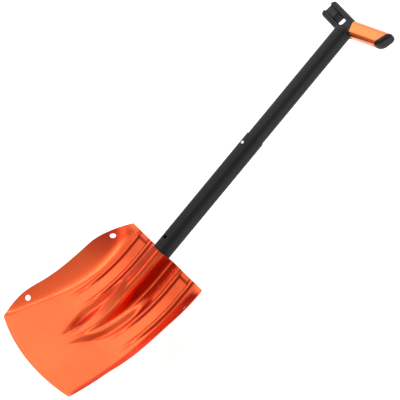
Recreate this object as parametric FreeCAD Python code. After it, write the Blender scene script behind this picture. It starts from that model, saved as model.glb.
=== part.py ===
import FreeCAD, Part
import math
import os

V = FreeCAD.Vector

# Working frame, millimetres: X runs along the shaft from the blade (-X) to the grip (+X), Z is the
# digging side of the blade, Y is across. X = 0 is the blade's top edge and the mouth of its socket.
# The shaft's axis is Y = 0, Z = 0. At the end everything is lifted and shifted so that the shovel
# lies on its back with the origin under the middle of its bounding box.

# ---- driving dimensions ----
# blade
sheet = 1.8                 # blade and back plate thickness
blade_length = 296.0        # along the middle of the blade, corner to corner
tip_half = 125.0            # half the cutting edge
top_half = 117.0            # half the top edge
flange_half = 138.5         # half the widest part, across the side flanges
flange_rise = 32.0          # height of the side flanges near the top
flange_rise_low = 21.5      # and near the tip
edge_bow = 16.0             # how far the cutting edge bulges in its middle
flat_run = 40.0             # straight part of the blade below its top edge
curl_end = 205.0            # the lengthwise bend ends here
curl_angle = 33.0           # pitch of the blade below the bend, degrees
socket_depth = 75.0         # how far the shaft goes into the blade
ridge_end = 240.0           # where the middle ridge runs out
ridge_foot = 14.0           # half width of the ridge where it runs out
ridge_fall = 2.2            # over 1, the ridge falls away faster below the shaft than at its end
ridge_ease = 0.14           # share of its length over which it starts to fall
valley_depth = 8.5          # valleys either side of the ridge
foot_fillet = 5.0           # bend where the socket wall meets the blade's floor
bead_inner = 52.5           # middle of the inner stiffening bead
bead_outer = 87.5           # middle of the outer stiffening bead
bead_half = 5.5             # half a bead's width
bead_rise = 3.0
bead_end = 190.0            # where the beads run out
panel_top = 13.0            # the flat panels between the beads start here
tie_hole = 10.0             # diameter of the holes in the flanges
tie_hole_from_top = 41.5
tie_hole_from_tip = 54.0
tie_hole_from_edge = 11.5

# shaft
tube_width = 31.0           # lower tube, outside
tube_depth = 35.0
tube_corner = 14.0
tube_wall = 1.2
slide_gap = 0.3             # between moving pieces
lower_reach = 259.0         # lower tube's top end, from the socket's mouth
upper_top = 495.5           # upper tube's top end
upper_tail = 35.0           # upper tube below its button
button_to_end = 19.7        # telescope button below the lower tube's top end
stow_hole = 25.7            # hole that holds the button when the shaft is short
lock_from_mouth = 30.0      # blade lock button below the socket's mouth

# buttons and springs
button_dia = 6.5
button_hole = 7.0
button_roundness = 0.35     # height of its round top, of its radius
button_proud = 2.4          # telescope button above the lower tube
lock_proud = 1.8            # blade lock button behind the back plate
button_flange = 9.4
flange_thick = 1.5
spring_width = 7.0
spring_thick = 0.7
spring_length = 34.0
spring_tail = 6.0           # leg beyond the button
spring_flat = 8.0           # straight part of the leg on the button's other side
spring_nose = 2.6           # half width of the bend

# back plate and rivets
plate_width = 88.0
plate_length = 62.0
plate_margin = 1.5
rivet_dia = 4.8
rivet_head = 9.5
rivet_head_rise = 1.8
rivet_from_mouth = 11.0
rivet_pitch = 38.0
rivet_side = 34.0
rivet_tail = 0.2            # how far the dressed tails stand over the digging face

# grip
arm_tilt = 9.5              # each arm leans away from the blade, degrees
arm_x = 511.0               # arms' middle line where it crosses the shaft's axis
arm_z = -4.0                # arms' middle plane
arm_depth = 25.0
left_height = 35.0
left_length = 64.0
right_height = 29.5
left_corner = 9.0
channel_width = 15.0
channel_depth = 4.0
window_start = 6.0
window_length = 31.0
window_height = 13.0
sleeve_start = 14.2
sleeve_end = 86.0
sleeve_wall = 1.6
sleeve_corner = 9.5
sleeve_start_slant = 12.0   # degrees
sleeve_end_slant = 34.0
cap_end = 95.0
cap_end_slant = 28.0
cap_proud = 0.4
core_gap = 0.15
spigot_length = 45.0
spigot_gap = 0.1
plug_length = 12.0
plug_lip = 1.5
pin_dia = 4.8
pin_head = 9.0
pin_head_rise = 1.4
pin_below_top = 16.0
screw_dia = 3.5
screw_head = 6.5
screw_length = 16.0
screw_head_rise = 1.6
screw_from_hub = 46.0
pin_grip = 4.0              # the pin stops this far behind the shaft's axis
cap_round = 7.5
ridge_reach = 9.0           # raised lines on the sleeve, from its middle
ridge_radius = 1.2
plug_wall = 2.0

# small clearances
fit_gap = 0.05              # between pieces fixed together
seat_gap = 0.05             # between a face and what is seated on it
rest_gap = 0.2              # between a button or spring at rest and the tube's wall


def smooth(t):
    """0 up to t = 0, 1 from t = 1, an even S between."""
    t = min(max(t, 0.0), 1.0)
    return t * t * (3.0 - 2.0 * t)


pieces = {}                 # every sub-part by its name, in the working frame

# ---- rounded tube sections ----


def rounded_face(width, height, corner, at, across, up):
    """A flat face: a rectangle with round corners, its middle at a point, on two unit directions."""
    a = width / 2.0 - corner
    b = height / 2.0 - corner
    h = corner * math.sqrt(0.5)

    def p(u, v):
        return at + across * u + up * v

    ring = []
    for su, sv, turn in ((1, 1, 0), (-1, 1, 1), (-1, -1, 0), (1, -1, 1)):
        first = p(su * (a + corner), sv * b)
        middle = p(su * (a + h), sv * (b + h))
        last = p(su * a, sv * (b + corner))
        ring.append((last, middle, first) if turn else (first, middle, last))
    edges = []
    for n, (first, middle, last) in enumerate(ring):
        edges.append(Part.Arc(first, middle, last).toShape())
        start = ring[(n + 1) % 4][0]
        if (start - last).Length > 1e-6:
            edges.append(Part.makeLine(last, start))
    return Part.Face(Part.Wire(edges))


def shaft_bar(width, depth, corner, start, end):
    """A solid bar of the shaft's rounded section between two places along X."""
    face = rounded_face(width, depth, corner, V(start, 0, 0), V(0, 1, 0), V(0, 0, 1))
    return face.extrude(V(end - start, 0, 0))


def shaft_tube(width, depth, corner, wall, start, end):
    outside = shaft_bar(width, depth, corner, start, end)
    inside = shaft_bar(width - 2 * wall, depth - 2 * wall, corner - wall, start - 1, end + 1)
    return outside.cut(inside)


# ---- blade: one pressed aluminium sheet ----

tube_half_y = tube_width / 2.0
tube_half_z = tube_depth / 2.0
back_z = -(tube_half_z + slide_gap)             # back face of the blade's floor at the socket
floor_z = back_z + sheet                        # its digging face
socket_top = tube_half_z + slide_gap + sheet    # digging face over the shaft
arch_rise = socket_top - floor_z
arch_corner = tube_corner + slide_gap + sheet
arch_cy = tube_half_y - tube_corner
arch_cz = tube_half_z - tube_corner - floor_z
arch_foot = arch_cy + arch_corner + foot_fillet
ridge_straight = socket_depth + 3.0
valley_fade = 40.0           # length over which the valleys come back up to the floor
bank_taper = 75.0           # length over which the valleys narrow
valley_skew = 1.7            # over 1, a valley is deepest towards its outer bank
valley_start = plate_margin + plate_length + 3.0
bead_edge_in = bead_inner - bead_half
bead_edge_out = bead_outer + bead_half


def pitch(s):
    """The blade's slope at a distance down from its top edge, in radians."""
    t = (s - flat_run) / (curl_end - flat_run)
    return math.radians(curl_angle) * min(max(t, 0.0), 1.0)


centre_step = 2.0
centre_line = [(0.0, floor_z)]
for k in range(int((blade_length + edge_bow) / centre_step) + 4):
    slope = pitch((k + 0.5) * centre_step)
    x0, z0 = centre_line[-1]
    centre_line.append((x0 - centre_step * math.cos(slope), z0 + centre_step * math.sin(slope)))


def on_centre(s):
    """Point and slope of the floor's middle line at a distance down the blade."""
    k = min(int(s / centre_step), len(centre_line) - 2)
    t = s / centre_step - k
    x = centre_line[k][0] * (1 - t) + centre_line[k + 1][0] * t
    z = centre_line[k][1] * (1 - t) + centre_line[k + 1][1] * t
    return x, z, pitch(s)


def arch_point(t):
    """The socket's outline, as half width and share of its rise, by length from top to foot."""
    flat = arch_cy
    bend = arch_corner * math.pi / 2.0
    wall = arch_cz - foot_fillet
    fillet = foot_fillet * math.pi / 2.0
    d = t * (flat + bend + wall + fillet)
    if d <= flat:
        return d, 1.0
    if d <= flat + bend:
        a = (d - flat) / arch_corner
        return arch_cy + arch_corner * math.sin(a), (arch_cz + arch_corner * math.cos(a)) / arch_rise
    if d <= flat + bend + wall:
        return arch_cy + arch_corner, (arch_cz - (d - flat - bend)) / arch_rise
    a = (d - flat - bend - wall) / foot_fillet
    y = arch_cy + arch_corner + foot_fillet * (1.0 - math.cos(a))
    return y, foot_fillet * (1.0 - math.sin(a)) / arch_rise


def crest(s):
    """Height of the socket and ridge above the floor."""
    if s <= ridge_straight:
        return arch_rise
    t = min((s - ridge_straight) / (ridge_end - ridge_straight), 1.0)
    eased = (t - ridge_ease * (1.0 - math.exp(-t / ridge_ease))) / (1.0 - ridge_ease)
    return arch_rise * max(0.0, 1.0 - eased) ** ridge_fall


def foot_half(s):
    return arch_foot + (ridge_foot - arch_foot) * smooth((s - ridge_straight) / (ridge_end - ridge_straight))


def crease_half(s):
    """Half the width between the creases where the flanges start."""
    wide = tip_half - 8.0
    return bead_edge_out + 1.0 + (wide - bead_edge_out - 1.0) * smooth((s - 90.0) / (blade_length - 90.0))


def edge_half(s):
    """Half the width at the flange's outer edge."""
    near_top = top_half + (flange_half - top_half) * math.sin(math.pi / 2 * min(s / 80.0, 1.0)) ** 0.85
    left = (blade_length - s) / 60.0
    near_tip = tip_half + (flange_half - tip_half) * math.sin(math.pi / 2 * min(max(left, 0.0), 1.0))
    return min(near_top, near_tip)


def edge_rise(s):
    """Height of the flange's outer edge above the floor."""
    near_top = 0.02 + 0.98 * math.sin(math.pi / 2 * min(s / 90.0, 1.0))
    near_tip = math.sin(math.pi / 2 * min(max((blade_length - s) / 80.0, 0.0), 1.0))
    full = flange_rise + (flange_rise_low - flange_rise) * smooth((s - 100.0) / 145.0)
    return full * min(near_top, near_tip)


def bead(y, s):
    """Height of the stiffening beads: two legs joined across their top by the panel's end."""
    fade = 1.0 - smooth((s - 0.55 * bead_end) / (0.45 * bead_end))

    def leg(middle):
        return 0.5 + 0.5 * math.cos(math.pi * min(abs(y - middle) / bead_half, 1.0))

    legs = max(leg(bead_inner), leg(bead_outer))
    bridge = 1.0 if bead_inner < y < bead_outer else legs
    across = 1.0 - smooth((s - panel_top + 6.0) / 6.0)
    return bead_rise * fade * (legs + (bridge - legs) * across)


def valley(y, s):
    """Depth of the valley beside the ridge, between the ridge's foot and the inner bead."""
    deep = smooth((s - valley_start) / 60.0) * smooth((ridge_end - s) / valley_fade)
    bank = ridge_foot + 2.0 + (bead_edge_in - ridge_foot - 2.0) * smooth((ridge_end - s) / bank_taper)
    start = foot_half(s) - 4.0
    t = (y - start) / max(bank - start, 4.0)
    if not 0.0 < t < 1.0:
        return 0.0
    return valley_depth * deep * math.sin(math.pi * t ** valley_skew) ** 1.5


def blade_point(s, u):
    """Half width and height above the floor at a station u: 0-1 arch, 1-2 valley, 2-3 beads, 3-4 flange."""
    if u <= 1.0:
        soft = smooth((s - ridge_straight) / (ridge_end - ridge_straight))
        hard_y, hard_n = arch_point(u)
        soft_n = 1.0 - smooth((u - 0.4) / 0.6)
        y = hard_y * (1 - soft) + foot_half(s) * u * soft
        n = hard_n * (1 - soft) + soft_n * soft
        return y, crest(s) * n - valley(y, s) * smooth((u - 0.8) / 0.2)
    if u <= 2.0:
        y = foot_half(s) + (bead_edge_in - foot_half(s)) * (u - 1.0)
        return y, -valley(y, s)
    if u <= 3.0:
        y = bead_edge_in + (bead_edge_out - bead_edge_in) * (u - 2.0)
        return y, bead(y, s)
    t = u - 3.0
    y = bead_edge_out + (edge_half(s) - bead_edge_out) * t
    start = crease_half(s)
    t = max(y - start, 0.0) / max(edge_half(s) - start, 1.0)
    return y, edge_rise(s) * t ** 1.5


def blade_place(s, u, side):
    """Digging face of the blade in the working frame. The cutting edge bows out in its middle."""
    y, n = blade_point(s, u)
    bow = edge_bow * max(0.0, 1.0 - (y / tip_half) ** 2) * smooth((s - ridge_end) / (blade_length - ridge_end))
    x, z, slope = on_centre(s + bow)
    return V(x + n * math.sin(slope), side * y, z + n * math.cos(slope))


arch_steps = 22
stations = [k / arch_steps for k in range(arch_steps)]
stations += [1.0 + k / 8.0 for k in range(8)]
stations += [2.0 + k / 24.0 for k in range(24)]
stations += [3.0 + k / 14.0 for k in range(15)]
across = [(u, -1) for u in reversed(stations[1:])] + [(u, 1) for u in stations]
rows = [0.0, 3.0, 6.5, 9.5, 12.5, 16.0, 22.0]
rows += [22.0 + 8.5 * k for k in range(1, 8)]
while rows[-1] < blade_length - 9.0:
    rows.append(rows[-1] + 8.0)
rows.append(blade_length)


def sheet_solid(front):
    """Closes a grid of points into a sheet: the same grid set back by the thickness, and four edges."""
    high = len(front)
    wide = len(front[0])
    back = []
    for i in range(high):
        line = []
        for j in range(wide):
            du = front[i][min(j + 1, wide - 1)] - front[i][max(j - 1, 0)]
            ds = front[min(i + 1, high - 1)][j] - front[max(i - 1, 0)][j]
            normal = du.cross(ds)
            normal.normalize()
            line.append(front[i][j] - normal * sheet)
        back.append(line)
    skins = []
    for grid in (front, back):
        skin = Part.BSplineSurface()
        skin.interpolate(grid)
        skins.append(skin)
    faces = [skin.toShape() for skin in skins]
    first_u, last_u, first_v, last_v = skins[0].bounds()
    for u in (first_u, last_u):
        ends = [skin.uIso(skin.bounds()[0] if u == first_u else skin.bounds()[1]).toShape() for skin in skins]
        faces.append(Part.makeRuledSurface(*ends))
    for v in (first_v, last_v):
        ends = [skin.vIso(skin.bounds()[2] if v == first_v else skin.bounds()[3]).toShape() for skin in skins]
        faces.append(Part.makeRuledSurface(*ends))
    shell = Part.Shell(faces)
    shell.sewShape()
    solid = Part.Solid(Part.Shell(shell.Faces))
    if solid.Volume < 0:
        solid.reverse()
    return solid


grid = [[blade_place(s, u, side) for u, side in across] for s in rows]
blade = sheet_solid(grid)

# ---- the blade's holes: ties in the flanges, rivets beside the socket ----


def tie_place(s, side):
    """Middle of a flange hole and the flange's direction there."""
    target = edge_half(s) - tie_hole_from_edge * math.cos(math.radians(35.0))
    u = 3.0 + (target - bead_edge_out) / (edge_half(s) - bead_edge_out)
    at = blade_place(s, u, side)
    along = blade_place(s + 1.0, u, side) - at
    over = blade_place(s, u + 0.02, side) - at
    normal = over.cross(along) * side
    normal.normalize()
    return at, normal


tie_places = [tie_place(s, side) for s in (tie_hole_from_top, blade_length - tie_hole_from_tip) for side in (1, -1)]
for at, normal in tie_places:
    blade = blade.cut(Part.makeCylinder(tie_hole / 2, 8.0, at + normal * 4.0, normal * -1))

rivet_places = []
for x in (-rivet_from_mouth, -rivet_from_mouth - rivet_pitch):
    for side in (-1, 1):
        rivet_places.append((x, side * rivet_side))
for x, y in rivet_places:
    blade = blade.cut(Part.makeCylinder(rivet_dia / 2 + fit_gap, 6.0, V(x, y, back_z - 2.0)))
pieces["blade"] = blade

# ---- socket back plate: closes the socket behind the shaft ----

plate_top = back_z - seat_gap
plate_bottom = plate_top - sheet
plate_middle = -plate_margin - plate_length / 2
plate_face = rounded_face(plate_length, plate_width, 8.0, V(plate_middle, 0, plate_bottom), V(1, 0, 0), V(0, 1, 0))
plate = plate_face.extrude(V(0, 0, sheet))
plate = plate.cut(Part.makeCylinder(button_hole / 2, 6.0, V(-lock_from_mouth, 0, plate_bottom - 2.0)))
for x, y in rivet_places:
    plate = plate.cut(Part.makeCylinder(rivet_dia / 2 + fit_gap, 6.0, V(x, y, plate_bottom - 2.0)))
pieces["socket_back_plate"] = plate


def dome(radius, rise, at, up):
    """A low round head: the cap of a ball, standing on a flat face."""
    ball = (radius * radius + rise * rise) / (2.0 * rise)
    sphere = Part.makeSphere(ball, at + up * (rise - ball))
    keep = Part.makeCylinder(radius * 1.2, rise * 2.0, at, up)
    return sphere.common(keep)


rivets = []
for x, y in rivet_places:
    seat = V(x, y, plate_bottom)
    top = on_centre(-x)[1] + rivet_tail
    shank = Part.makeCylinder(rivet_dia / 2, top - plate_bottom, seat)
    rivets.append(shank.fuse(dome(rivet_head / 2, rivet_head_rise, seat, V(0, 0, -1))).removeSplitter())
pieces["socket_rivets"] = Part.makeCompound(rivets)

# ---- lower shaft: the outer tube ----

telescope_x = lower_reach - button_to_end
upper_width = tube_width - 2 * (tube_wall + slide_gap)
upper_depth = tube_depth - 2 * (tube_wall + slide_gap)
upper_corner = tube_corner - tube_wall - slide_gap
upper_start = telescope_x - upper_tail
travel = telescope_x - stow_hole

lower_shaft = shaft_tube(tube_width, tube_depth, tube_corner, tube_wall, -socket_depth, lower_reach)
for x in (telescope_x, stow_hole):
    lower_shaft = lower_shaft.cut(Part.makeCylinder(button_hole / 2, tube_depth, V(x, 0, 0)))
lower_shaft = lower_shaft.cut(Part.makeCylinder(button_hole / 2, tube_depth, V(-lock_from_mouth, 0, 0), V(0, 0, -1)))
pieces["lower_shaft"] = lower_shaft

# ---- upper shaft: the inner tube ----

upper_shaft = shaft_tube(upper_width, upper_depth, upper_corner, tube_wall, upper_start, upper_top)
upper_shaft = upper_shaft.cut(Part.makeCylinder(button_hole / 2, tube_depth, V(telescope_x, 0, 0)))
pin_x = upper_top - pin_below_top
upper_shaft = upper_shaft.cut(Part.makeCylinder(pin_dia / 2 + fit_gap, tube_depth, V(pin_x, 0, 0), V(0, 0, -1)))
pieces["upper_shaft"] = upper_shaft

# ---- end plugs: moulded, one in the lower end of each tube ----


def end_plug(width, depth, corner, end):
    """A cup pushed into a tube's lower end, with a lip that covers the tube's edge."""
    inner_width = width - 2 * (tube_wall + fit_gap)
    inner_depth = depth - 2 * (tube_wall + fit_gap)
    inner_corner = corner - tube_wall - fit_gap
    lip = shaft_bar(width, depth, corner, end - plug_lip, end)
    body = shaft_bar(inner_width, inner_depth, inner_corner, end, end + plug_length)
    hollow = shaft_bar(
        inner_width - 2 * plug_wall, inner_depth - 2 * plug_wall, inner_corner - plug_wall, end, end + plug_length + 1
    )
    return lip.fuse(body).removeSplitter().cut(hollow)


pieces["lower_shaft_plug"] = end_plug(tube_width, tube_depth, tube_corner, -socket_depth)
pieces["upper_shaft_guide"] = end_plug(upper_width, upper_depth, upper_corner, upper_start)

# ---- snap buttons and their V springs ----


def corner_drop(reach, width, corner):
    """How far a tube's inside has rounded away at a reach from its middle line."""
    past = max(reach - (width / 2.0 - corner), 0.0)
    inner = corner - tube_wall
    return inner - math.sqrt(inner * inner - past * past)


def snap_button(x, wall_inside, drop, tip, way):
    """A round-topped button with a flange that stays inside the tube. way is +1 to the front, -1 to the back."""
    up = V(0, 0, way)
    under = wall_inside - drop - rest_gap - flange_thick
    top_round = button_dia / 2 * button_roundness
    flange = Part.makeCylinder(button_flange / 2, flange_thick, V(x, 0, way * under), up)
    stem = Part.makeCylinder(button_dia / 2, tip - under - top_round, V(x, 0, way * under), up)
    cap = dome(button_dia / 2, top_round, V(x, 0, way * (tip - top_round)), up)
    return flange.fuse(stem).fuse(cap).removeSplitter(), under


def ribbon(points, thickness, width):
    """A bent strip: its middle line lies in the plane Y = 0, rounded at each bend."""
    strip = None
    for a, b in zip(points, points[1:]):
        run = b - a
        side = V(-run.z, 0, run.x)
        side.normalize()
        side = side * (thickness / 2)
        down = V(0, -width / 2, 0)
        ring = [a + side + down, b + side + down, b - side + down, a - side + down]
        piece = Part.Face(Part.makePolygon(ring + ring[:1])).extrude(V(0, width, 0))
        strip = piece if strip is None else strip.fuse(piece)
    for p in points[1:-1]:
        strip = strip.fuse(Part.makeCylinder(thickness / 2, width, p - V(0, width / 2, 0), V(0, 1, 0)))
    return strip.removeSplitter()


def snap_spring(x, under, wall_inside, drop, way, bend_way):
    """A V of strip steel: one leg under the button, the other against the far wall, bent towards bend_way."""
    high = under - seat_gap - spring_thick / 2
    low = -(wall_inside - drop - rest_gap - spring_thick / 2)
    tail = -spring_tail
    bend = spring_length - spring_tail
    nose = bend - spring_nose
    line = [(tail, high), (spring_flat, high), (nose, spring_nose), (bend, 0.0)]
    line += [(nose, -spring_nose), (spring_flat, low), (tail, low)]
    points = [V(x + bend_way * u, 0, way * w) for u, w in line]
    return ribbon(points, spring_thick, spring_width)


upper_inside = upper_depth / 2 - tube_wall
lower_inside = tube_depth / 2 - tube_wall
drop = corner_drop(button_flange / 2, upper_width, upper_corner)
button, under = snap_button(telescope_x, upper_inside, drop, tube_depth / 2 + button_proud, 1)
pieces["telescope_button"] = button
drop = corner_drop(spring_width / 2, upper_width, upper_corner)
pieces["telescope_spring"] = snap_spring(telescope_x, under, upper_inside, drop, 1, 1)

drop = corner_drop(button_flange / 2, tube_width, tube_corner)
button, under = snap_button(-lock_from_mouth, lower_inside, drop, lock_proud - plate_bottom, -1)
pieces["blade_lock_button"] = button
drop = corner_drop(spring_width / 2, tube_width, tube_corner)
pieces["blade_lock_spring"] = snap_spring(-lock_from_mouth, under, lower_inside, drop, -1, -1)

# ---- grip: a moulded tee with one bare arm and one arm under an extruded sleeve ----

tilt = math.radians(arm_tilt)
hub = V(arm_x, 0, arm_z)
up_z = V(0, 0, 1)


def arm_frame(side):
    """An arm's direction and the direction across it, away from the blade. side is +1 left, -1 right."""
    return V(math.sin(tilt), side * math.cos(tilt), 0), V(math.cos(tilt), -side * math.sin(tilt), 0)


left_along, left_over = arm_frame(1)
right_along, right_over = arm_frame(-1)


def arm_bar(side, height, depth, corner, start, end):
    along, over = arm_frame(side)
    face = rounded_face(height, depth, corner, hub + along * start, over, up_z)
    return face.extrude(along * (end - start))


def slanted_half(distance, slant, beyond):
    """A block that holds everything past (or before) a plane across the right arm, turned by slant degrees."""
    a = math.radians(slant)
    normal = right_along * math.cos(a) - right_over * math.sin(a)
    plane_up = up_z
    plane_over = right_over * math.cos(a) + right_along * math.sin(a)
    size = 120.0
    corner = hub + right_along * distance - plane_up * size / 2 - plane_over * size / 2
    ring = [corner, corner + plane_over * size, corner + plane_over * size + plane_up * size, corner + plane_up * size]
    face = Part.Face(Part.makePolygon(ring + ring[:1]))
    return face.extrude(normal * (size if beyond else -size))


def plane_gap(point):
    """How far a point is from the end cap's outer plane."""
    a = math.radians(cap_end_slant)
    normal = right_along * math.cos(a) - right_over * math.sin(a)
    return abs((point - hub - right_along * cap_end).dot(normal))


def ridge_pair(side, reach, start, end, front, radius):
    """Two round lines raised along the front of an arm."""
    along, over = arm_frame(side)
    lines = []
    for way in (-1, 1):
        base = hub + along * start + over * (way * reach) + up_z * (front - radius * 0.4)
        lines.append(Part.makeCylinder(radius, end - start, base, along))
    return lines


front = arm_depth / 2
left_arm = arm_bar(1, left_height, arm_depth, left_corner, -4.0, left_length)
trough = arm_bar(1, channel_width, 2 * channel_depth, channel_depth * 0.6, window_start - 3.0, left_length + 5.0)
left_arm = left_arm.cut(trough.translated(up_z * front))
window = arm_bar(1, window_height, 2 * arm_depth, 2.0, window_start, window_start + window_length)

shoulder = arm_bar(-1, right_height + 1.0, arm_depth, sleeve_corner, -10.0, sleeve_start + 20.0)
shoulder = shoulder.cut(slanted_half(sleeve_start, -sleeve_start_slant, True))
core_less = 2 * (sleeve_wall + core_gap)
core_end = sleeve_end - 1.0
core = arm_bar(
    -1, right_height - core_less, arm_depth - core_less, sleeve_corner - core_less / 2, 0.0, core_end
)
collar_width = upper_width + 1.2
collar_depth = upper_depth + 1.2
collar_corner = upper_corner + 0.6
collar_top = upper_top + 5.0
collar = shaft_bar(collar_width, collar_depth, collar_corner, upper_top + fit_gap, collar_top)
neck_low = rounded_face(collar_width, collar_depth, collar_corner, V(collar_top, 0, 0), V(0, 1, 0), up_z)
neck_high = rounded_face(
    collar_width, arm_depth - 1.0, sleeve_corner, V(arm_x - 1.0, 0, arm_z), V(0, 1, 0), up_z
)
neck = Part.makeLoft([neck_low.OuterWire, neck_high.OuterWire], True, True)
spigot = shaft_bar(
    upper_width - 2 * (tube_wall + spigot_gap),
    upper_depth - 2 * (tube_wall + spigot_gap),
    upper_corner - tube_wall - spigot_gap,
    upper_top - spigot_length,
    upper_top + 2.0,
)
spigot = spigot.cut(Part.makeCylinder(pin_dia / 2 + fit_gap, tube_depth, V(pin_x, 0, -pin_grip), V(0, 0, -1)))
tube_room = shaft_bar(collar_width, collar_depth, collar_corner, upper_top - 10.0, upper_top + fit_gap)
arms = left_arm.fuse([shoulder, core, collar, neck]).cut(tube_room)
grip_body = arms.fuse(spigot).removeSplitter()
grip_body = grip_body.cut(window)
screw_at = hub + right_along * screw_from_hub - up_z * front
grip_body = grip_body.cut(Part.makeCylinder(screw_dia / 2 + fit_gap, screw_length, screw_at, up_z))
pieces["grip_body"] = grip_body

sleeve = arm_bar(-1, right_height, arm_depth, sleeve_corner, -10.0, sleeve_end + 30.0)
for line in ridge_pair(-1, ridge_reach, -10.0, sleeve_end + 30.0, front, ridge_radius):
    sleeve = sleeve.fuse(line)
sleeve_less = 2 * sleeve_wall
sleeve = sleeve.cut(
    arm_bar(
        -1, right_height - sleeve_less, arm_depth - sleeve_less, sleeve_corner - sleeve_wall, -20.0, sleeve_end + 40.0
    )
)
sleeve = sleeve.cut(slanted_half(sleeve_start + fit_gap, -sleeve_start_slant, False))
sleeve = sleeve.cut(slanted_half(sleeve_end, sleeve_end_slant, True))
sleeve = sleeve.cut(Part.makeCylinder(screw_dia / 2 + fit_gap, 6.0, screw_at - up_z * 2.0, up_z))
pieces["grip_sleeve"] = sleeve.removeSplitter()

cap = arm_bar(-1, right_height + 2 * cap_proud, arm_depth + 2 * cap_proud, sleeve_corner + cap_proud, 40.0, cap_end + 30.0)
cap = cap.cut(slanted_half(cap_end, cap_end_slant, True))
cap_rim = [e for e in cap.Edges if all(plane_gap(v.Point) < 0.01 for v in e.Vertexes)]
cap = cap.makeFillet(cap_round, cap_rim)
cap = cap.cut(slanted_half(sleeve_end + fit_gap, sleeve_end_slant, False))
cap = cap.cut(
    arm_bar(
        -1,
        right_height - core_less + 2 * fit_gap,
        arm_depth - core_less + 2 * fit_gap,
        sleeve_corner - core_less / 2 + fit_gap,
        20.0,
        core_end + fit_gap,
    )
)
pieces["grip_end_cap"] = cap

# ---- fasteners in the grip ----

pin_seat = V(pin_x, 0, -upper_depth / 2)
pin = Part.makeCylinder(pin_dia / 2, upper_depth / 2 - pin_grip, pin_seat)
pieces["grip_pin"] = pin.fuse(dome(pin_head / 2, pin_head_rise, pin_seat, V(0, 0, -1))).removeSplitter()

screw = Part.makeCylinder(screw_dia / 2, screw_length - fit_gap, screw_at, up_z)
pieces["grip_screw"] = screw.fuse(dome(screw_head / 2, screw_head_rise, screw_at, up_z * -1)).removeSplitter()

# ---- into the row's frame: on its back, the origin under the middle of its box ----

box = FreeCAD.BoundBox()
for shape in pieces.values():
    box.add(shape.optimalBoundingBox(True, False))
shift = V(-(box.XMin + box.XMax) / 2, -(box.YMin + box.YMax) / 2, -box.ZMin)

os.makedirs("parts", exist_ok=True)
for name, shape in pieces.items():
    shape.translated(shift).exportStep("parts/%s.step" % name)

print("shift", [round(c, 3) for c in shift])
print("box", [round(c, 2) for c in (box.XLength, box.YLength, box.ZLength)])
print("travel", round(travel, 2), "telescope button at", round(telescope_x, 2))
print("ties", [([round(c, 3) for c in at + shift], [round(c, 4) for c in way]) for at, way in tie_places])
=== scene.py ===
import math
import bpy
import numpy as np
from mathutils import Matrix, Vector


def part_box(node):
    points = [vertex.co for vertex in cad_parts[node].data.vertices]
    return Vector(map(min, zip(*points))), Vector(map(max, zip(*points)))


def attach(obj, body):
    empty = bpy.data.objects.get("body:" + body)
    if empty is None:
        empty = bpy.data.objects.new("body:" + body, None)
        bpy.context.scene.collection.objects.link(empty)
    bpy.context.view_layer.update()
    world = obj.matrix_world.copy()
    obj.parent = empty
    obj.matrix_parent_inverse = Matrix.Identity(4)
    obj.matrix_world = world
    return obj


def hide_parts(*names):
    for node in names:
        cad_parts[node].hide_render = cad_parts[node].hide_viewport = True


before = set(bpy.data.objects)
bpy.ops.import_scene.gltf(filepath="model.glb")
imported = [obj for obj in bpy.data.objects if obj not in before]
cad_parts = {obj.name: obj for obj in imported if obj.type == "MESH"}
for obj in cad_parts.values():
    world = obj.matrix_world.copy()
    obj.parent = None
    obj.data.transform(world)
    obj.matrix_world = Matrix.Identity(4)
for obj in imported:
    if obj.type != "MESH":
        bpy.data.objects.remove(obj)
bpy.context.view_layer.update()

# ---------------------------------------------------------------------------------------------
# Blade. One sheet of 1.8 mm aluminium, pressed in a die: a flat floor that curls up towards the
# cutting edge, raised side flanges, two looped beads each side for stiffness, and a tunnel for the
# shaft that runs on as a ridge with a valley each side. Brushed, then anodised orange.
# ---------------------------------------------------------------------------------------------

tube_low, tube_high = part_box("lower_shaft")
mouth_x = tube_high[0] * 1000 - 259.0           # the blade's top edge; the tube reaches 259 mm past it
axis_z = (tube_low[2] + tube_high[2]) * 500     # height of the shaft's axis

SHEET = 1.8
BLADE_LENGTH = 296.0                            # down the middle line, from the top edge
CURL_FROM, CURL_TO = 40.0, 205.0
CURL = math.radians(33.0)
FLOOR_Z = -16.0                                 # the level part of the floor, from the shaft's axis
EDGE_BOW = 16.0                                 # how far the cutting edge's middle stands past its ends

# the socket's arch, and the ridge that it falls away into
ARCH_RADIUS = 16.1
ARCH_MIDDLE = 1.5
FOOT_RADIUS = 5.0
ARCH_FOOT = ARCH_MIDDLE + ARCH_RADIUS + FOOT_RADIUS
ARCH_RISE = 19.6 - FLOOR_Z
ARCH_CENTRE = 3.5 - FLOOR_Z
RIDGE_FROM, RIDGE_TO, RIDGE_FALL, RIDGE_EASE = 78.0, 240.0, 2.2, 0.14
RIDGE_FOOT = 14.0
RIDGE_CROWN = 0.4                               # share of the ridge's half width that is nearly flat
PRESS_LINE_RISE, PRESS_LINE_AT, PRESS_LINE_HALF = 1.2, 0.36, 0.04

# the beads, and the valleys between them and the ridge
BEADS = (52.5, 87.5)
BEAD_HALF, BEAD_RISE, BEAD_END, BEAD_SINKS = 5.5, 3.0, 190.0, 0.55
BEAD_CREASE, BEAD_CREASE_HALF = 0.55, 0.9
BEADS_FROM, BEADS_TO = BEADS[0] - BEAD_HALF, BEADS[1] + BEAD_HALF
VALLEY_FROM, VALLEY_ENTRY, VALLEY_DEPTH, VALLEY_FADE, VALLEY_SKEW = 66.5, 60.0, 8.5, 40.0, 1.7
VALLEY_LAP = 4.0                                # how far a valley starts under the arch's foot
BANK_TIP, BANK_TAPER = RIDGE_FOOT + 2.0, 75.0   # a valley's outer bank runs in towards the ridge's tip

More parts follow.
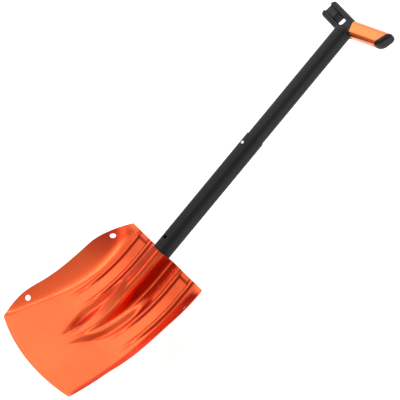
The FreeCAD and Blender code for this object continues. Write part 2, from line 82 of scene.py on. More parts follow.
# the flanges: half widths at the outer edge, heights there, and the fold's distance from the middle
TOP_HALF, TIP_HALF, FLANGE_HALF = 117.0, 125.0, 138.5
TOP_ROUND, TIP_ROUND = 80.0, 60.0
FLANGE_RISE, FLANGE_RISE_LOW = 32.0, 21.5
FOLD_TOP, FOLD_TIP, FOLD_FROM = BEADS_TO + 1.0, TIP_HALF - 8.0, 90.0


def smooth(t):
    """0 below t = 0 and 1 above t = 1, with t * t * (3 - 2 t) between."""
    t = np.clip(t, 0.0, 1.0)
    return t * t * (3.0 - 2.0 * t)


def floor_line(s):
    """The blade's middle line: level, then an arc whose slope grows evenly to 33 degrees, then straight."""
    bend = CURL / (CURL_TO - CURL_FROM)
    slope = np.clip(s - CURL_FROM, 0.0, CURL_TO - CURL_FROM) * bend
    level = np.minimum(s, CURL_FROM)
    past = np.maximum(s - CURL_TO, 0.0)
    x = -(level + np.sin(slope) / bend + past * math.cos(CURL))
    z = FLOOR_Z + (1.0 - np.cos(slope)) / bend + past * math.sin(CURL)
    return x, z, slope


def arch(t):
    """The socket's outline by length t from its top, 0 to 1, as y and as a share of its height.

    It is a flat, a quarter circle down, a straight wall and a small quarter circle out to the floor.
    """
    bend = ARCH_RADIUS * math.pi / 2
    wall = ARCH_CENTRE - FOOT_RADIUS
    d = t * (ARCH_MIDDLE + bend + wall + FOOT_RADIUS * math.pi / 2)
    a = np.clip((d - ARCH_MIDDLE) / ARCH_RADIUS, 0.0, math.pi / 2)
    down = np.clip(d - ARCH_MIDDLE - bend, 0.0, wall)
    b = np.clip((d - ARCH_MIDDLE - bend - wall) / FOOT_RADIUS, 0.0, math.pi / 2)
    y = np.minimum(d, ARCH_MIDDLE) + ARCH_RADIUS * np.sin(a) + FOOT_RADIUS * (1.0 - np.cos(b))
    z = ARCH_CENTRE + ARCH_RADIUS * np.cos(a) - down - FOOT_RADIUS * np.sin(b)
    return y, z / ARCH_RISE


def quarter_sine(t):
    """0 below t = 0 and 1 above t = 1, with sin(t * 90 degrees) between."""
    return np.sin(math.pi / 2 * np.clip(t, 0.0, 1.0))


def flange_half(s):
    """Half width at the flange's outer edge: a quarter sine out from the top, another in to the tip."""
    top = TOP_HALF + (FLANGE_HALF - TOP_HALF) * quarter_sine(s / TOP_ROUND) ** 0.85
    tip = TIP_HALF + (FLANGE_HALF - TIP_HALF) * quarter_sine((BLADE_LENGTH - s) / TIP_ROUND)
    return np.minimum(top, tip)


def flange_height(s):
    """Height of the flange's outer edge: a quarter sine up from each end, under a limit that falls."""
    top = 0.02 + 0.98 * quarter_sine(s / 90.0)
    tip = quarter_sine((BLADE_LENGTH - s) / 80.0)
    limit = FLANGE_RISE + (FLANGE_RISE_LOW - FLANGE_RISE) * smooth((s - 100.0) / 145.0)
    return limit * np.minimum(top, tip)


def beads(s, y):
    """Two raised cosine lines down the blade, joined across their top, fading out.

    Each has a fine crease at both feet, a bell curve across.
    """
    fade = 1.0 - smooth((s - BEAD_SINKS * BEAD_END) / ((1.0 - BEAD_SINKS) * BEAD_END))
    off = [np.abs(y - middle) for middle in BEADS]
    leg = np.maximum(*[0.5 + 0.5 * np.cos(math.pi * np.clip(d / BEAD_HALF, 0.0, 1.0)) for d in off])
    across = np.where((y > BEADS[0]) & (y < BEADS[1]), 1.0, leg)
    raised = leg + (across - leg) * (1.0 - smooth((s - 7.0) / 6.0))
    crease = sum(np.exp(-(((d - BEAD_HALF) / BEAD_CREASE_HALF) ** 2)) for d in off)
    return fade * (BEAD_RISE * raised - BEAD_CREASE * crease * smooth((s - 2.0) / 8.0))


def blade_face(s, v):
    """The digging face in mm, by distance s from the top edge and station v.

    Station 0 to 1 is the socket and ridge, 1 to 2 a valley, 2 to 3 the beads and 3 to 4 a flange, and a
    negative station is the other side. Each has a distance y from the middle and a height h over the
    floor line, and the point is that line's point moved by h along the line's normal.
    """
    s, v = np.broadcast_arrays(np.asarray(s, float), np.asarray(v, float))
    u = np.abs(v)
    t = np.clip((s - RIDGE_FROM) / (RIDGE_TO - RIDGE_FROM), 0.0, 1.0)
    run = smooth(t)
    eased = (t - RIDGE_EASE * (1.0 - np.exp(-t / RIDGE_EASE))) / (1.0 - RIDGE_EASE)
    crest = ARCH_RISE * np.clip(1.0 - eased, 0.0, 1.0) ** RIDGE_FALL
    foot = ARCH_FOOT + (RIDGE_FOOT - ARCH_FOOT) * run
    deep = smooth((s - VALLEY_FROM) / VALLEY_ENTRY) * smooth((RIDGE_TO - s) / VALLEY_FADE)
    bank = BANK_TIP + (BEADS_FROM - BANK_TIP) * smooth((RIDGE_TO - s) / BANK_TAPER)

    def valley(y):
        across = (y - foot + VALLEY_LAP) / np.maximum(bank - foot + VALLEY_LAP, VALLEY_LAP)
        return VALLEY_DEPTH * deep * np.sin(math.pi * np.clip(across, 0.0, 1.0) ** VALLEY_SKEW) ** 1.5

    hard_y, hard_n = arch(np.clip(u, 0.0, 1.0))
    y_arch = hard_y * (1.0 - run) + foot * u * run
    n_arch = hard_n * (1.0 - run) + (1.0 - smooth((u - RIDGE_CROWN) / (1.0 - RIDGE_CROWN))) * run
    line = PRESS_LINE_RISE * np.exp(-(((u - PRESS_LINE_AT) / PRESS_LINE_HALF) ** 2))
    line = line * smooth((s - 3.0) / 12.0) * smooth((RIDGE_TO - s) / 40.0)
    h_arch = crest * n_arch + line - valley(y_arch) * smooth((u - 0.8) / 0.2)

    y_valley = foot + (BEADS_FROM - foot) * (u - 1.0)
    y_beads = BEADS_FROM + (BEADS_TO - BEADS_FROM) * (u - 2.0)
    out = flange_half(s)
    y_flange = BEADS_TO + (out - BEADS_TO) * (u - 3.0)
    fold = FOLD_TOP + (FOLD_TIP - FOLD_TOP) * smooth((s - FOLD_FROM) / (BLADE_LENGTH - FOLD_FROM))
    past_fold = np.clip(y_flange - fold, 0.0, None) / np.maximum(out - fold, 1.0)
    h_flange = flange_height(s) * past_fold ** 1.5

    zones = [u <= 1.0, u <= 2.0, u <= 3.0]
    y = np.select(zones, [y_arch, y_valley, y_beads], y_flange)
    h = np.select(zones, [h_arch, -valley(y_valley), beads(s, y_beads)], h_flange)
    to_edge = smooth((s - RIDGE_TO) / (BLADE_LENGTH - RIDGE_TO))
    bow = EDGE_BOW * np.clip(1.0 - (y / TIP_HALF) ** 2, 0.0, None) * to_edge
    x, z, slope = floor_line(s + bow)
    return np.stack([x + h * np.sin(slope), np.sign(v + 1e-12) * y, z + h * np.cos(slope)], axis=-1)


def to_row(points):
    """From the shaft's own frame in mm to the shovel's frame in metres: shift along X and up."""
    return (points + np.array([mouth_x, 0.0, axis_z])) / 1000.0


def grid_faces(index):
    """Quads of a grid of vertex numbers, each cell's four corners in turn."""
    return np.stack([index[:-1, :-1], index[:-1, 1:], index[1:, 1:], index[1:, :-1]], axis=-1)


def wrapped_faces(numbers, rows_too=False):
    """Quads of a grid whose last column joins its first, and whose last row joins its first if rows_too."""
    numbers = np.hstack([numbers, numbers[:, :1]])
    if rows_too:
        numbers = np.vstack([numbers, numbers[:1]])
    return grid_faces(numbers).reshape(-1, 4)


def mesh_piece(name, points, faces, sharp=40.0):
    """A mesh from points in metres and quads, smooth but for edges sharper than an angle in degrees."""
    mesh = bpy.data.meshes.new(name)
    mesh.from_pydata(points.tolist(), [], faces.tolist())
    mesh.polygons.foreach_set("use_smooth", np.ones(len(mesh.polygons), bool))
    mesh.set_sharp_from_angle(angle=math.radians(sharp))
    piece = bpy.data.objects.new(name, mesh)
    bpy.context.scene.collection.objects.link(piece)
    return piece


rows = np.concatenate([np.linspace(0.0, 22.0, 16)[:-1], np.linspace(22.0, BLADE_LENGTH, 108)])
half = np.concatenate([
    np.linspace(0.0, 1.0, 35)[:-1], np.linspace(1.0, 2.0, 17)[:-1],
    np.linspace(2.0, 3.0, 61)[:-1], np.linspace(3.0, 4.0, 37),
])
stations = np.concatenate([-half[:0:-1], half])
high, wide = len(rows), len(stations)
index = np.arange(high * wide).reshape(high, wide)
spots = [np.stack(np.meshgrid(rows, stations, indexing="ij"), axis=-1).reshape(-1, 2)]
quads = grid_faces(index)
open_cells = np.ones((high - 1, wide - 1), bool)

TIE_RADIUS = 5.0
TIE_INSET = 11.5 * math.cos(math.radians(35.0))     # 11.5 mm in from the edge, down the flange's slope
TIE_FROM_TOP, TIE_FROM_TIP = 41.5, 54.0
TIE_BLOCK, TIE_RINGS = 8.0, 7
ring_faces = []
count = high * wide
for s_hole in (TIE_FROM_TOP, BLADE_LENGTH - TIE_FROM_TIP):
    for side in (-1.0, 1.0):
        # a block of cells round the hole gives way to rings that go from the block's outline to the circle
        out = flange_half(s_hole)
        middle = np.array([s_hole, side * (3.0 + (out - TIE_INSET - BEADS_TO) / (out - BEADS_TO))])
        step = blade_face(s_hole, middle[1] + 0.01) - blade_face(s_hole, middle[1] - 0.01)
        scale = np.array([1.0, np.linalg.norm(step) / 0.02])
        reach = TIE_BLOCK / scale
        i0, i1 = np.searchsorted(rows, (middle[0] - reach[0], middle[0] + reach[0]))
        j0, j1 = np.searchsorted(stations, (middle[1] - reach[1], middle[1] + reach[1]))
        open_cells[i0:i1, j0:j1] = False
        sides = [index[i0, j0:j1], index[i0:i1, j1], index[i1, j1:j0:-1], index[i1:i0:-1, j0]]
        outline = np.concatenate(sides)
        corner = spots[0][outline]
        away = (corner - middle) * scale
        circle = middle + TIE_RADIUS * away / np.linalg.norm(away, axis=1, keepdims=True) / scale
        share = np.linspace(0.0, 1.0, TIE_RINGS + 1)[1:, None, None] ** 0.8
        rings = corner * (1.0 - share) + circle * share
        spots.append(rings.reshape(-1, 2))
        added = TIE_RINGS * len(outline)
        numbers = count + np.arange(added).reshape(TIE_RINGS, -1)
        ring_faces.append(wrapped_faces(np.vstack([outline, numbers])))
        count += added

spots = np.vstack(spots)
front_face = to_row(blade_face(spots[:, 0], spots[:, 1]))
blade_quads = np.vstack([quads[open_cells]] + ring_faces)
blade = mesh_piece("blade_sheet", front_face, blade_quads)


# strengths of the painted shade on the socket's top, its walls, the flange bend and the ridge's sides
SOCKET_TOP_SHADE, SOCKET_WALL_SHADE, FLANGE_BEND_SHADE = 0.7, 0.6, 0.8
RIDGE_SIDE_SHADE, RIDGE_SIDE_SHADE_LOW = 0.3, 0.6


def painted_shade_amount(s, v):
    """How much painted shade a place takes, 0 to 1, as bell curves across and eased steps along.

    The painted shade is strongest at the beads' feet, beside the ridge, on the socket's top and walls, and
    where the flange bends up: the creases and hollows where shade would fall.
    """
    u = np.abs(v)
    y = np.abs(blade_face(s, v)[..., 1])
    feet = sum(np.exp(-(((np.abs(y - middle) - 0.75 * BEAD_HALF) / 2.0) ** 2)) for middle in BEADS)
    feet = feet * (1.0 - smooth((s - 100.0) / 90.0))
    foot = RIDGE_SIDE_SHADE + (RIDGE_SIDE_SHADE_LOW - RIDGE_SIDE_SHADE) * smooth((s - 140.0) / 40.0)
    foot = foot * np.exp(-(((u - 1.3) / 0.3) ** 2)) * smooth((RIDGE_TO - 8.0 - s) / 40.0)
    top = SOCKET_TOP_SHADE * (1.0 - smooth((u - 0.22) / 0.08)) * smooth((150.0 - s) / 90.0)
    wall = SOCKET_WALL_SHADE * smooth((u - 0.42) / 0.10) * (u < 1.0) * smooth((165.0 - s) / 60.0)
    bend = FLANGE_BEND_SHADE * smooth((u - 3.15) / 0.35) * smooth((125.0 - s) / 90.0) * smooth((s - 4.0) / 16.0)
    return np.clip(np.maximum(foot, wall) + feet + bend + top, 0.0, 1.0)


# painted shade: each point's share of the deep red, kept in the blade's fold attribute
painted_shade_layer = blade.data.attributes.new("fold", "FLOAT", "POINT")
painted_shade_layer.data.foreach_set("value", painted_shade_amount(spots[:, 0], spots[:, 1]).astype(np.float32))
thickness = blade.modifiers.new("thickness", "SOLIDIFY")
thickness.thickness, thickness.offset = SHEET / 1000, -1.0


def settle(piece, sharp=40.0):
    """Makes a piece's modifiers part of its mesh, then marks the edges sharper than the given angle."""
    bpy.context.view_layer.update()
    done = bpy.data.meshes.new_from_object(piece.evaluated_get(bpy.context.evaluated_depsgraph_get()))
    piece.modifiers.clear()
    piece.data = done
    done.polygons.foreach_set("use_smooth", np.ones(len(done.polygons), bool))
    done.set_sharp_from_angle(angle=math.radians(sharp))


settle(blade)


def colour(code):
    """An sRGB hex code as linear red, green, blue and 1: each channel ((c + 0.055) / 1.055) ** 2.4."""
    channels = [int(code[k : k + 2], 16) / 255 for k in (1, 3, 5)]
    linear = [c / 12.92 if c <= 0.04045 else ((c + 0.055) / 1.055) ** 2.4 for c in channels]
    return (*linear, 1.0)


def new_material(name):
    """An empty node material with its shader joined to its output: the material, its tree and the shader."""
    material = bpy.data.materials.new(name)
    material.use_nodes = True
    tree = material.node_tree
    tree.nodes.clear()
    output = tree.nodes.new("ShaderNodeOutputMaterial")
    shader = tree.nodes.new("ShaderNodeBsdfPrincipled")
    tree.links.new(shader.outputs["BSDF"], output.inputs["Surface"])
    return material, tree, shader


def add(tree, kind, inputs=None, **settings):
    """Adds a node: settings are its own options, inputs are values, or sockets to link from."""
    made = tree.nodes.new(kind)
    for key, value in settings.items():
        setattr(made, key, value)
    for key, value in (inputs or {}).items():
        if isinstance(value, bpy.types.NodeSocket):
            tree.links.new(value, made.inputs[key])
        else:
            made.inputs[key].default_value = value
    return made


def anodised(name, deep, bright, brush_mm, along, rough, bump_mm, fold=None):
    """Brushed, dyed and sealed aluminium: metallic, with fine brush lines and a slight drift in the dye.

    brush_mm is the spacing of the lines, drawn coarser than the real 0.1 mm so that they show, and along is
    the axis that they run along. fold is a painted shade colour, mixed into the dye by the mesh's fold
    attribute where creases and hollows would fall into shade.
    """
    material, tree, shader = new_material(name)
    place = add(tree, "ShaderNodeTexCoord").outputs["Object"]
    stretch = [1000.0 / brush_mm] * 3
    stretch[along] /= 60.0
    lined = add(tree, "ShaderNodeMapping", {"Vector": place, "Scale": stretch}).outputs[0]
    lines = add(tree, "ShaderNodeTexNoise", {"Vector": lined, "Scale": 1.0, "Detail": 3.0, "Roughness": 0.6})
    drift = add(tree, "ShaderNodeTexNoise", {"Vector": place, "Scale": 1000.0 / 70.0, "Detail": 2.0})
    tone = add(tree, "ShaderNodeMath", {0: lines.outputs[0], 1: 0.45}, operation="MULTIPLY")
    mixed = {0: drift.outputs[0], 1: 0.55, 2: tone.outputs[0]}
    tone = add(tree, "ShaderNodeMath", mixed, operation="MULTIPLY_ADD").outputs[0]
    dye = add(tree, "ShaderNodeMix", {0: tone, 6: colour(deep), 7: colour(bright)}, data_type="RGBA")
    # painted shade: the dye is mixed towards the fold colour wherever the mesh's fold attribute says
    if fold:
        painted_shade_mix = add(tree, "ShaderNodeAttribute", attribute_name="fold").outputs["Fac"]
        dye = add(tree, "ShaderNodeMix", {0: painted_shade_mix, 6: dye.outputs[2], 7: colour(fold)}, data_type="RGBA")
    sheen = add(tree, "ShaderNodeMapRange", {0: lines.outputs[0], 3: rough[0], 4: rough[1]})
    raised = {"Height": lines.outputs[0], "Distance": bump_mm / 1000, "Strength": 0.6}
    lift = add(tree, "ShaderNodeBump", raised)
    tree.links.new(dye.outputs[2], shader.inputs["Base Color"])
    tree.links.new(sheen.outputs[0], shader.inputs["Roughness"])
    tree.links.new(lift.outputs[0], shader.inputs["Normal"])
    shader.inputs["Metallic"].default_value = 1.0
    return material


# Orange anodised sheet, brushed across: a saturated metal, with painted shade and painted reflection in deep
# red (#A02413) on its creases, socket and flange bend.
orange_sheet = anodised("orange_anodised_sheet_painted_shade", "#E4552E", "#F66A3E", 1.1, 1, (0.25, 0.33), 0.022, "#A02413")
blade.data.materials.clear()
blade.data.materials.append(orange_sheet)
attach(blade, "blade")
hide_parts("blade")


def finish_node(name, material):
    """Gives a CAD node one material in all its slots."""
    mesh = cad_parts[name].data
    if not mesh.materials:
        mesh.materials.append(material)
    for k in range(len(mesh.materials)):
        mesh.materials[k] = material


# ---------------------------------------------------------------------------------------------
# Back plate and rivets. A flat plate of the same sheet closes the socket behind the shaft, held by
# four rivets whose tails are dressed flush on the digging side. Anodised with the blade.
# ---------------------------------------------------------------------------------------------

finish_node("socket_back_plate", orange_sheet)
orange_rivet = anodised("orange_anodised_rivet", "#E2562A", "#F07040", 0.8, 0, (0.34, 0.46), 0.02)
finish_node("socket_rivets", orange_rivet)

# ---------------------------------------------------------------------------------------------
# Lower shaft. An oval aluminium extrusion, anodised black: near matt, with faint lines along it
# from the die. A moulded plug closes its lower end.
# ---------------------------------------------------------------------------------------------


def shaded(tree, code, amount):
    """A colour made darker or lighter by an amount near 1."""
    mix = {0: 1.0, 6: colour(code), 7: amount.outputs[0]}
    return add(tree, "ShaderNodeMix", mix, data_type="RGBA", blend_type="MULTIPLY")


def black_tube(name, code, rough):
    """Black anodised extrusion: dark, a dull gloss, die lines 0.9 mm apart that run along X."""
    material, tree, shader = new_material(name)
    place = add(tree, "ShaderNodeTexCoord").outputs["Object"]
    lined = add(tree, "ShaderNodeMapping", {"Vector": place, "Scale": (6.0, 1100.0, 1100.0)}).outputs[0]
    lines = add(tree, "ShaderNodeTexNoise", {"Vector": lined, "Scale": 1.0, "Detail": 2.0})
    grain = add(tree, "ShaderNodeTexNoise", {"Vector": place, "Scale": 1000.0 / 1.5, "Detail": 2.0})
    tone = add(tree, "ShaderNodeMapRange", {0: grain.outputs[0], 3: 0.8, 4: 1.2})
    shade = shaded(tree, code, tone)
    sheen = add(tree, "ShaderNodeMapRange", {0: lines.outputs[0], 3: rough - 0.05, 4: rough + 0.07})
    lift = add(tree, "ShaderNodeBump", {"Height": lines.outputs[0], "Distance": 0.00006, "Strength": 0.7})
    tree.links.new(shade.outputs[2], shader.inputs["Base Color"])
    tree.links.new(sheen.outputs[0], shader.inputs["Roughness"])
    tree.links.new(lift.outputs[0], shader.inputs["Normal"])
    shader.inputs["Specular IOR Level"].default_value = 0.22
    return material


finish_node("lower_shaft", black_tube("black_anodised_tube", "#141517", 0.46))


def moulded(name, code, rough, grain_mm):
    """Glass-filled nylon from a spark-eroded mould: a fine even grain that scatters the light."""
    material, tree, shader = new_material(name)
    place = add(tree, "ShaderNodeTexCoord").outputs["Object"]
    grain = add(tree, "ShaderNodeTexNoise", {"Vector": place, "Scale": 1000.0 / grain_mm, "Detail": 3.0})
    patch = add(tree, "ShaderNodeTexNoise", {"Vector": place, "Scale": 1000.0 / 18.0, "Detail": 2.0})
    tone = add(tree, "ShaderNodeMapRange", {0: patch.outputs[0], 3: 0.85, 4: 1.15})
    shade = shaded(tree, code, tone)
    sheen = add(tree, "ShaderNodeMapRange", {0: grain.outputs[0], 3: rough - 0.06, 4: rough + 0.08})
    lift = add(tree, "ShaderNodeBump", {"Height": grain.outputs[0], "Distance": 0.00012, "Strength": 0.5})
    tree.links.new(shade.outputs[2], shader.inputs["Base Color"])
    tree.links.new(sheen.outputs[0], shader.inputs["Roughness"])
    tree.links.new(lift.outputs[0], shader.inputs["Normal"])
    shader.inputs["Specular IOR Level"].default_value = 0.3
    return material


black_nylon = moulded("black_moulded_nylon", "#121314", 0.50, 1.2)
finish_node("lower_shaft_plug", black_nylon)

# ---------------------------------------------------------------------------------------------
# Upper shaft. The same alloy in a size that slides inside the lower tube, with a moulded guide on
# its lower end.
# ---------------------------------------------------------------------------------------------

finish_node("upper_shaft", black_tube("black_anodised_inner_tube", "#191A1C", 0.44))
finish_node("upper_shaft_guide", black_nylon)

# ---------------------------------------------------------------------------------------------
# Snap buttons, springs, pin and screw. Stainless steel: the buttons turned, with rings round their
# tips, and the springs bent from strip.
# ---------------------------------------------------------------------------------------------


def steel(name, code, line_mm, rough):
    """Stainless steel with fine turning or rolling lines, a bright neutral metal."""
    material, tree, shader = new_material(name)
    place = add(tree, "ShaderNodeTexCoord").outputs["Object"]
    stretch = (1000.0 / line_mm, 80.0, 1000.0 / line_mm)
    lined = add(tree, "ShaderNodeMapping", {"Vector": place, "Scale": stretch}).outputs[0]
    lines = add(tree, "ShaderNodeTexNoise", {"Vector": lined, "Scale": 1.0, "Detail": 2.0})
    sheen = add(tree, "ShaderNodeMapRange", {0: lines.outputs[0], 3: rough - 0.06, 4: rough + 0.08})
    shade = add(
        tree, "ShaderNodeMix", {0: lines.outputs[0], 6: colour(code), 7: colour("#E6E6E8")}, data_type="RGBA"
    )
    tree.links.new(shade.outputs[2], shader.inputs["Base Color"])
    tree.links.new(sheen.outputs[0], shader.inputs["Roughness"])
    shader.inputs["Metallic"].default_value = 1.0
    return material


turned_steel = steel("turned_stainless_steel", "#C9CACC", 0.4, 0.24)
spring_steel = steel("rolled_spring_steel", "#8E9093", 0.6, 0.34)
for name in ("telescope_button", "blade_lock_button", "grip_pin", "grip_screw"):
    finish_node(name, turned_steel)
for name in ("telescope_spring", "blade_lock_spring"):
    finish_node(name, spring_steel)

# ---------------------------------------------------------------------------------------------
# Grip body. One nylon moulding: a short channelled arm with a window beside the hub, the hub, and
# the core of the long arm. Every edge is rounded as a mould leaves it.
# ---------------------------------------------------------------------------------------------


def softened_copy(name, node, voxel_mm, passes):
    """A CAD node's shape with rounded edges: its surface redrawn on a fine lattice, then evened out."""
    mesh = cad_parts[node].data.copy()
    mesh.materials.clear()
    piece = bpy.data.objects.new(name, mesh)
    bpy.context.scene.collection.objects.link(piece)
    weld = piece.modifiers.new("weld", "WELD")
    weld.merge_threshold = 0.00001
    lattice = piece.modifiers.new("lattice", "REMESH")
    lattice.mode, lattice.voxel_size = "VOXEL", voxel_mm / 1000
    soften = piece.modifiers.new("soften", "SMOOTH")
    soften.factor, soften.iterations = 0.5, passes
    settle(piece, 180.0)
    return piece


grip = softened_copy("grip_moulding", "grip_body", 0.7, 10)
grip.data.materials.append(moulded("grip_moulded_nylon", "#121315", 0.46, 1.0))
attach(grip, "upper_shaft")
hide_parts("grip_body")

# ---------------------------------------------------------------------------------------------
# Grip sleeve. A length of aluminium extrusion over the long arm's core, sawn at a slant at both
# ends: a wide front face between two raised lines, rounded sides. Anodised orange like the blade.
# ---------------------------------------------------------------------------------------------

HUB = np.array([511.0, 0.0, -4.0])
LEAN = math.radians(9.5)
ALONG = np.array([math.sin(LEAN), -math.cos(LEAN), 0.0])
OVER = np.array([math.cos(LEAN), math.sin(LEAN), 0.0])
SLEEVE_HEIGHT, SLEEVE_DEPTH, SLEEVE_CORNER, SLEEVE_WALL = 29.5, 25.0, 9.5, 1.6
SLEEVE_START, SLEEVE_START_SLANT = 14.25, math.tan(math.radians(-12.0))
SLEEVE_END, SLEEVE_END_SLANT = 86.0, math.tan(math.radians(34.0))
LINE_OFFSET, LINE_HALF, LINE_RISE = 9.0, 1.4, 0.72
RIM = 0.12                                      # share of the wall taken off each edge of the sawn ends


def arm_profile(height, depth, corner, count):
    """A rounded rectangle from the middle of its front: straight, quarter circle, and so on round.

    Each stretch is a corner circle's centre, still or moving in a straight line, and a turn about it.
    """
    flat_o, flat_z = height / 2 - corner, depth / 2 - corner
    quarter = corner * math.pi / 2
    across = [2 * flat_z, quarter, 2 * flat_o, quarter, 2 * flat_z, quarter]
    lengths = np.array([flat_o, quarter, *across, flat_o])
    ends = np.concatenate([[0.0], np.cumsum(lengths)])
    right, left = [(1, 1), (1, 1), (1, -1), (1, -1)], [(-1, -1), (-1, -1), (-1, 1), (-1, 1)]
    centres = np.array([(0, 1), *right, *left, (0, 1)]) * np.array([flat_o, flat_z])
    d = np.arange(count) / count * ends[-1]
    k = np.clip(np.searchsorted(ends, d, side="right") - 1, 0, 8)
    t = (d - ends[k]) / lengths[k]
    a = math.pi / 2 * (k // 2 + np.where(k % 2 == 1, t, 0.0))
    centre = centres[k] + (centres[k + 1] - centres[k]) * t[:, None]
    return centre + corner * np.stack([np.sin(a), np.cos(a)], axis=-1)


def on_arm(o, z, d):
    """A point of the long arm from its offset across, its height and its distance from the hub."""
    return HUB + d[..., None] * ALONG + o[..., None] * OVER + z[..., None] * np.array([0.0, 0.0, 1.0])


def front_lines(o, z):
    """Raises two round lines on the front face, one each side of its middle, each a cosine across."""
    near = np.clip(np.abs(np.abs(o) - LINE_OFFSET) / LINE_HALF, 0.0, 1.0)
    return z + np.where(z > 0, LINE_RISE * (0.5 + 0.5 * np.cos(math.pi * near)), 0.0)


outer = arm_profile(SLEEVE_HEIGHT, SLEEVE_DEPTH, SLEEVE_CORNER, 240)
inside = [size - 2 * SLEEVE_WALL for size in (SLEEVE_HEIGHT, SLEEVE_DEPTH)]
inner = arm_profile(*inside, SLEEVE_CORNER - SLEEVE_WALL, 240)
outer[:, 1] = front_lines(outer[:, 0], outer[:, 1])
# round the wall: along the outside, over the far rim, back along the inside, over the near rim
share = np.concatenate([np.linspace(0.0, 1.0, 40), np.linspace(1.0, 0.0, 40)])
inward = np.concatenate([[RIM], np.zeros(38), [RIM], [1.0 - RIM], np.ones(38), [1.0 - RIM]])
ring = outer[None] * (1.0 - inward[:, None, None]) + inner[None] * inward[:, None, None]
first = SLEEVE_START + SLEEVE_START_SLANT * ring[..., 0]
last = SLEEVE_END + SLEEVE_END_SLANT * ring[..., 0]
points = on_arm(ring[..., 0], ring[..., 1], first + (last - first) * share[:, None])
numbers = np.arange(points[..., 0].size).reshape(points.shape[:2])[:, ::-1]     # faces point outwards
faces = wrapped_faces(numbers, rows_too=True)
sleeve = mesh_piece("sleeve_extrusion", to_row(points).reshape(-1, 3), faces, 50.0)
orange_sleeve = anodised("orange_anodised_extrusion", "#F06A38", "#FF9058", 0.9, 1, (0.20, 0.32), 0.03)
sleeve.data.materials.append(orange_sleeve)
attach(sleeve, "upper_shaft")
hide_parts("grip_sleeve")

# ---------------------------------------------------------------------------------------------
# End cap. A nylon plug in the sleeve's outer end, cut parallel to the slant, its outer edge well
# rounded for the palm.
# ---------------------------------------------------------------------------------------------

CAP_INSET, CAP_ROUND = 0.05, 7.5
CAP_END, CAP_END_SLANT = 95.0, math.tan(math.radians(28.0))
CAP_HALF = 13.0                                 # about half the cap's size across, for the rounding's share
cap_size = [size - 2 * CAP_INSET for size in (SLEEVE_HEIGHT, SLEEVE_DEPTH)]
profile = arm_profile(*cap_size, SLEEVE_CORNER - CAP_INSET, 160)
# from the middle of the near face out to its rim, up the side, round the outer edge and in to the middle
turn = np.linspace(0.0, math.pi / 2, 12)[1:]
rounding = 1.0 - CAP_ROUND / CAP_HALF * (1.0 - np.cos(turn))
shrink = np.concatenate([[0.0, 0.9, 1.0, 1.0], rounding, [0.4, 0.2, 0.0]])
back = np.concatenate([[0.0, 0.0, 0.0, CAP_ROUND], CAP_ROUND * (1.0 - np.sin(turn)), [0.0, 0.0, 0.0]])
to_end = np.concatenate([[0.0, 0.0, 0.03, 1.0], np.ones(14)])
o, z = np.moveaxis(profile[None] * shrink[:, None, None], -1, 0)
near = SLEEVE_END + 0.05 + SLEEVE_END_SLANT * o
far = np.maximum(CAP_END + CAP_END_SLANT * o - back[:, None], near + 0.2)
points = on_arm(o, z, near + (far - near) * to_end[:, None])
numbers = np.arange(points[..., 0].size).reshape(points.shape[:2])[:, ::-1]     # faces point outwards
cap = mesh_piece("cap_moulding", to_row(points).reshape(-1, 3), wrapped_faces(numbers), 60.0)
merge = cap.modifiers.new("merge", "WELD")
merge.merge_threshold = 0.00001
settle(cap, 60.0)
cap.data.materials.clear()
cap.data.materials.append(moulded("cap_moulded_nylon", "#0F1011", 0.42, 1.0))
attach(cap, "upper_shaft")
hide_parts("grip_end_cap")

# ---------------------------------------------------------------------------------------------
# Studio. A plain white floor below the shovel, slightly luminous so that no shadow shows on it, a soft
# light beside the blade, a long strip above the shaft, and a pale surround that is dimmer on one side.
# ---------------------------------------------------------------------------------------------

FLOOR_HALF, FLOOR_BELOW = 8.0, 0.12
floor_mesh = bpy.data.meshes.new("studio_floor")
corners = [(x * FLOOR_HALF, y * FLOOR_HALF, -FLOOR_BELOW) for x, y in ((-1, -1), (1, -1), (1, 1), (-1, 1))]
floor_mesh.from_pydata(corners, [], [(0, 1, 2, 3)])
floor = bpy.data.objects.new("studio_floor", floor_mesh)
bpy.context.scene.collection.objects.link(floor)
paper, tree, shader = new_material("white_paper_sweep")
place = add(tree, "ShaderNodeTexCoord").outputs["Object"]
fibre = add(tree, "ShaderNodeTexNoise", {"Vector": place, "Scale": 40.0, "Detail": 2.0})
paper_tones = {0: fibre.outputs[0], 6: colour("#DCDCDC"), 7: colour("#E0E0E0")}
tint = add(tree, "ShaderNodeMix", paper_tones, data_type="RGBA")
tree.links.new(tint.outputs[2], shader.inputs["Base Color"])
shader.inputs["Roughness"].default_value = 0.9
shader.inputs["Emission Color"].default_value = (1.0, 1.0, 1.0, 1.0)
shader.inputs["Emission Strength"].default_value = 0.68
floor_mesh.materials.append(paper)

world = bpy.data.worlds.new("studio")
bpy.context.scene.world = world
world.use_nodes = True
sky = world.node_tree
sky.nodes.clear()
way = add(sky, "ShaderNodeTexCoord").outputs["Generated"]
side = add(sky, "ShaderNodeVectorMath", {0: way, 1: (0.75, 0.35, 0.35)}, operation="DOT_PRODUCT")
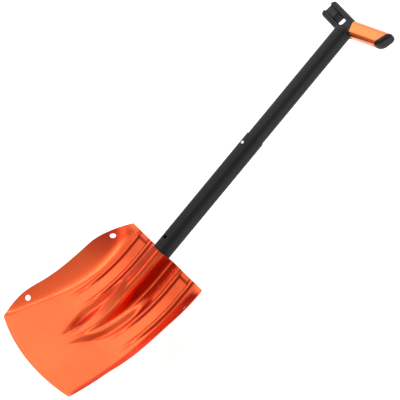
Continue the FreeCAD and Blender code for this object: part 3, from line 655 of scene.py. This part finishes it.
# the surround's strength goes from 0.44 on the dim side to 0.88 on the bright one
steps = {0: side.outputs["Value"], 1: -0.35, 2: 0.45, 3: 0.44, 4: 0.88}
level = add(sky, "ShaderNodeMapRange", steps, interpolation_type="SMOOTHSTEP")
glow = add(sky, "ShaderNodeBackground", {"Color": (1.0, 1.0, 1.0, 1.0), "Strength": level.outputs[0]})
add(sky, "ShaderNodeOutputWorld", {"Surface": glow.outputs[0]})


def soft_light(name, at, towards, long_side, short_side, watts):
    """A rectangular area light at a place, turned to face another."""
    lamp = bpy.data.lights.new(name, "AREA")
    lamp.shape, lamp.size, lamp.size_y, lamp.energy = "RECTANGLE", long_side, short_side, watts
    lit = bpy.data.objects.new(name, lamp)
    lit.location = at
    lit.rotation_euler = (Vector(at) - Vector(towards)).to_track_quat("Z", "Y").to_euler()
    bpy.context.scene.collection.objects.link(lit)


soft_light("left_softbox", (0.6, 1.7, 1.5), (-0.2, 0.0, 0.05), 1.5, 1.5, 9.0)
soft_light("overhead_strip", (0.6, -0.05, 2.2), (0.6, -0.05, 0.0), 2.4, 0.3, 14.0)

# ---------------------------------------------------------------------------------------------
# Camera. A long lens from the near side, 45 degrees up, rolled so that the shaft runs corner to
# corner.
# ---------------------------------------------------------------------------------------------

azimuth, elevation, roll = math.radians(3.232), math.radians(45.396), math.radians(52.731)
AIM = Vector(((113.656 + mouth_x) / 1000, 0.008302, axis_z / 1000))
DISTANCE, FOCAL_LENGTH, SENSOR = 2.42334, 123.69, 36.0
flat = math.cos(elevation)
back_way = Vector((math.sin(azimuth) * flat, -math.cos(azimuth) * flat, math.sin(elevation)))
level_way = Vector((math.cos(azimuth), math.sin(azimuth), 0.0))
rise_way = back_way.cross(level_way)
right_way = level_way * math.cos(roll) - rise_way * math.sin(roll)
up_way = level_way * math.sin(roll) + rise_way * math.cos(roll)
lens = bpy.data.cameras.new("camera")
lens.sensor_width, lens.lens = SENSOR, FOCAL_LENGTH
camera = bpy.data.objects.new("camera", lens)
turned = Matrix((right_way, up_way, back_way)).transposed().to_4x4()
camera.matrix_world = Matrix.Translation(AIM + back_way * DISTANCE) @ turned
bpy.context.scene.collection.objects.link(camera)
bpy.context.scene.camera = camera
bpy.context.scene.view_settings.view_transform = "Standard"
